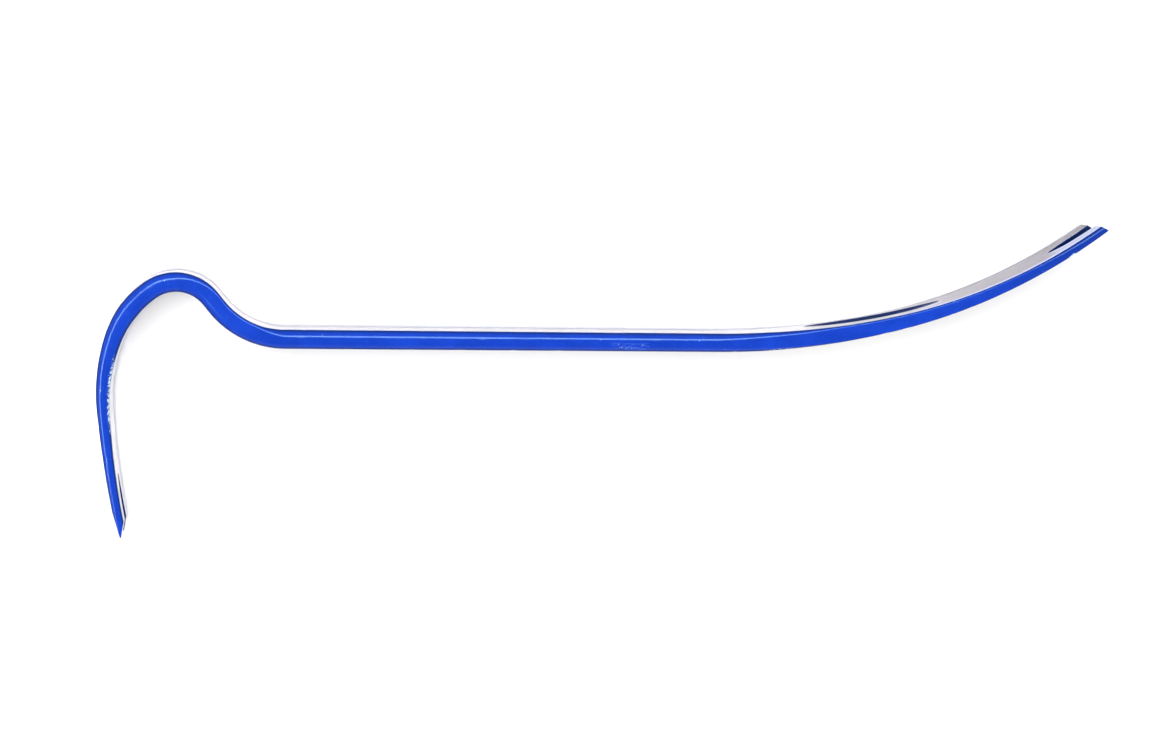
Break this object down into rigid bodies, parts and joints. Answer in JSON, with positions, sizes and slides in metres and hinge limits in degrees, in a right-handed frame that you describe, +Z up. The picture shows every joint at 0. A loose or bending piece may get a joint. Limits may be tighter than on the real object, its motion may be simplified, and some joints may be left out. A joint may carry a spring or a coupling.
{
  "type": "gooseneck wrecking bar",
  "caption": "One-piece forged pry bar with a hooked nail claw, an eight-sided shank and a curved, notched nail-pulling blade, for prying and levering.",
  "frame": {"origin": "under the middle of the bar's bounding box, on the side face it lies on", "axes": "the bar lies on its side: +X along the straight shank towards the blade, +Y the way the blade curves and opposite to the claw's tip, +Z up across the bar's width"},
  "size_m": [0.9178, 0.2888, 0.034],
  "materials": {
    "painted_forging": "glossy blue paint over forged steel, with the two wide faces ground to bright satin steel"
  },
  "bodies": {
    "root": {"claw_tine_lower": "painted_forging", "claw_tine_upper": "painted_forging", "claw": "painted_forging", "shoulder": "painted_forging", "crown": "painted_forging", "gooseneck": "painted_forging", "shank": "painted_forging", "heel": "painted_forging", "blade": "painted_forging", "blade_tine_lower": "painted_forging", "blade_tine_upper": "painted_forging"}
  },
  "joints": []
}
